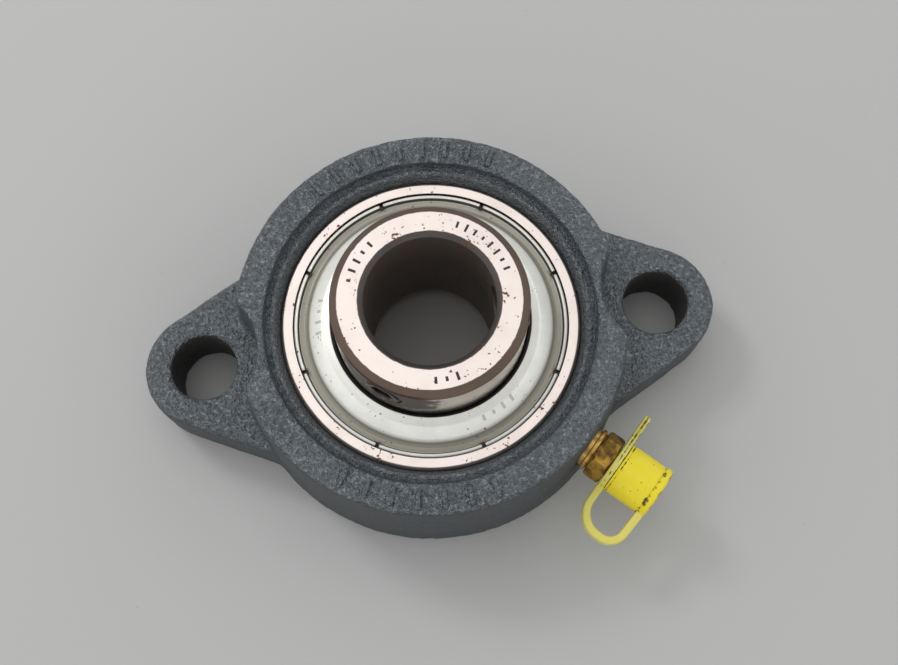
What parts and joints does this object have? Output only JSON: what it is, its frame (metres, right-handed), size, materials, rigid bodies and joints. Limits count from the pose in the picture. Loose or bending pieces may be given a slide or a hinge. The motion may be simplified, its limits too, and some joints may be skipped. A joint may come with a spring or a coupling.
{
  "type": "flange mount bearing",
  "caption": "Two-bolt oval cast flange housing with a self-aligning ball bearing insert, set-screw locking and a capped grease nipple.",
  "frame": {"origin": "on the bearing axis at the mounting face, midway between the bolt holes", "axes": "+Z along the bearing axis, from the mounting face to the front; +X along the line of the bolt holes; the grease nipple points 45 degrees from +X towards -Y"},
  "size_m": [0.09, 0.067, 0.0285],
  "materials": {
    "housing_paint": "satin blue-grey paint over rough cast iron",
    "bearing_steel": "ground bright, dark oxide left in the chamfers and bore",
    "ball_steel": "polished",
    "cage_steel": "pressed sheet steel",
    "zinc_shield": "zinc plated pressed sheet",
    "seal_rubber": "matt black",
    "screw_steel": "black oxide",
    "nipple_brass": "dull, brown with age",
    "spring_steel": "drawn wire",
    "cap_plastic": "soft yellow moulded plastic"
  },
  "bodies": {
    "housing": {"housing": "housing_paint", "nipple_body": "nipple_brass", "nipple_spring": "spring_steel"},
    "pin": {"anti_rotation_pin": "screw_steel"},
    "insert": {"outer_ring": "bearing_steel", "front_shield": "zinc_shield", "rear_shield": "zinc_shield", "front_seal_lip": "seal_rubber", "rear_seal_lip": "seal_rubber"},
    "inner_ring": {"inner_ring": "bearing_steel"},
    "cage": {"cage_front": "cage_steel", "cage_rear": "cage_steel", "cage_rivets": "cage_steel"},
    "ball_1": {"ball_1": "ball_steel"},
    "ball_2": {"ball_2": "ball_steel"},
    "ball_3": {"ball_3": "ball_steel"},
    "ball_4": {"ball_4": "ball_steel"},
    "ball_5": {"ball_5": "ball_steel"},
    "ball_6": {"ball_6": "ball_steel"},
    "ball_7": {"ball_7": "ball_steel"},
    "ball_8": {"ball_8": "ball_steel"},
    "set_screw_1": {"set_screw_1": "screw_steel"},
    "set_screw_2": {"set_screw_2": "screw_steel"},
    "nipple_ball": {"nipple_ball": "ball_steel"},
    "cap_ring": {"cap_ring": "cap_plastic", "cap_strap": "cap_plastic"},
    "cap": {"cap_shell": "cap_plastic"}
  },
  "joints": [
    {"name": "align_across_pin", "type": "hinge", "parent": "housing", "child": "pin", "pos_m": [0, 0, 0.0105], "axis": [0.7071, 0.7071, 0], "range_deg": [-2.5, 2.5]},
    {"name": "align_about_pin", "type": "hinge", "parent": "pin", "child": "insert", "pos_m": [0, 0, 0.0105], "axis": [-0.7071, 0.7071, 0], "range_deg": [-2.5, 2.5]},
    {"name": "shaft_spin", "type": "hinge", "parent": "insert", "child": "inner_ring", "pos_m": [0, 0, 0.0105], "axis": [0, 0, 1], "continuous": true},
    {"name": "cage_spin", "type": "hinge", "parent": "insert", "child": "cage", "pos_m": [0, 0, 0.0105], "axis": [0, 0, 1], "continuous": true},
    {"name": "ball_1_spin", "type": "hinge", "parent": "cage", "child": "ball_1", "pos_m": [0.01675, 0, 0.0105], "axis": [0, 0, 1], "continuous": true},
    {"name": "ball_2_spin", "type": "hinge", "parent": "cage", "child": "ball_2", "pos_m": [0.01184, 0.01184, 0.0105], "axis": [0, 0, 1], "continuous": true},
    {"name": "ball_3_spin", "type": "hinge", "parent": "cage", "child": "ball_3", "pos_m": [0, 0.01675, 0.0105], "axis": [0, 0, 1], "continuous": true},
    {"name": "ball_4_spin", "type": "hinge", "parent": "cage", "child": "ball_4", "pos_m": [-0.01184, 0.01184, 0.0105], "axis": [0, 0, 1], "continuous": true},
    {"name": "ball_5_spin", "type": "hinge", "parent": "cage", "child": "ball_5", "pos_m": [-0.01675, 0, 0.0105], "axis": [0, 0, 1], "continuous": true},
    {"name": "ball_6_spin", "type": "hinge", "parent": "cage", "child": "ball_6", "pos_m": [-0.01184, -0.01184, 0.0105], "axis": [0, 0, 1], "continuous": true},
    {"name": "ball_7_spin", "type": "hinge", "parent": "cage", "child": "ball_7", "pos_m": [0, -0.01675, 0.0105], "axis": [0, 0, 1], "continuous": true},
    {"name": "ball_8_spin", "type": "hinge", "parent": "cage", "child": "ball_8", "pos_m": [0.01184, -0.01184, 0.0105], "axis": [0, 0, 1], "continuous": true},
    {"name": "set_screw_1_travel", "type": "slide", "parent": "inner_ring", "child": "set_screw_1", "axis": [0.9925, -0.1219, 0], "range_m": [-0.002, 0.0045]},
    {"name": "set_screw_2_travel", "type": "slide", "parent": "inner_ring", "child": "set_screw_2", "axis": [-0.6018, -0.7986, 0], "range_m": [-0.002, 0.0045]},
    {"name": "nipple_valve", "type": "slide", "parent": "housing", "child": "nipple_ball", "axis": [0.7071, -0.7071, 0], "range_m": [-0.0007, 0], "stiffness_N_per_m": 300, "springref_m": 0.0005, "deforming": ["nipple_spring"]},
    {"name": "cap_turn", "type": "hinge", "parent": "housing", "child": "cap_ring", "pos_m": [0.02503, -0.02503, 0.0105], "axis": [0.7071, -0.7071, 0], "range_deg": [-60, 60]},
    {"name": "cap_pull", "type": "slide", "parent": "cap_ring", "child": "cap", "axis": [0.7071, -0.7071, 0], "range_m": [0, 0.006], "deforming": ["cap_strap"]}
  ],
  "couplings": [
    {"joint": "cage_spin", "follows": "shaft_spin", "ratio": 0.38152},
    {"joint": "ball_1_spin", "follows": "shaft_spin", "ratio": -1.9916},
    {"joint": "ball_2_spin", "follows": "shaft_spin", "ratio": -1.9916},
    {"joint": "ball_3_spin", "follows": "shaft_spin", "ratio": -1.9916},
    {"joint": "ball_4_spin", "follows": "shaft_spin", "ratio": -1.9916},
    {"joint": "ball_5_spin", "follows": "shaft_spin", "ratio": -1.9916},
    {"joint": "ball_6_spin", "follows": "shaft_spin", "ratio": -1.9916},
    {"joint": "ball_7_spin", "follows": "shaft_spin", "ratio": -1.9916},
    {"joint": "ball_8_spin", "follows": "shaft_spin", "ratio": -1.9916}
  ]
}
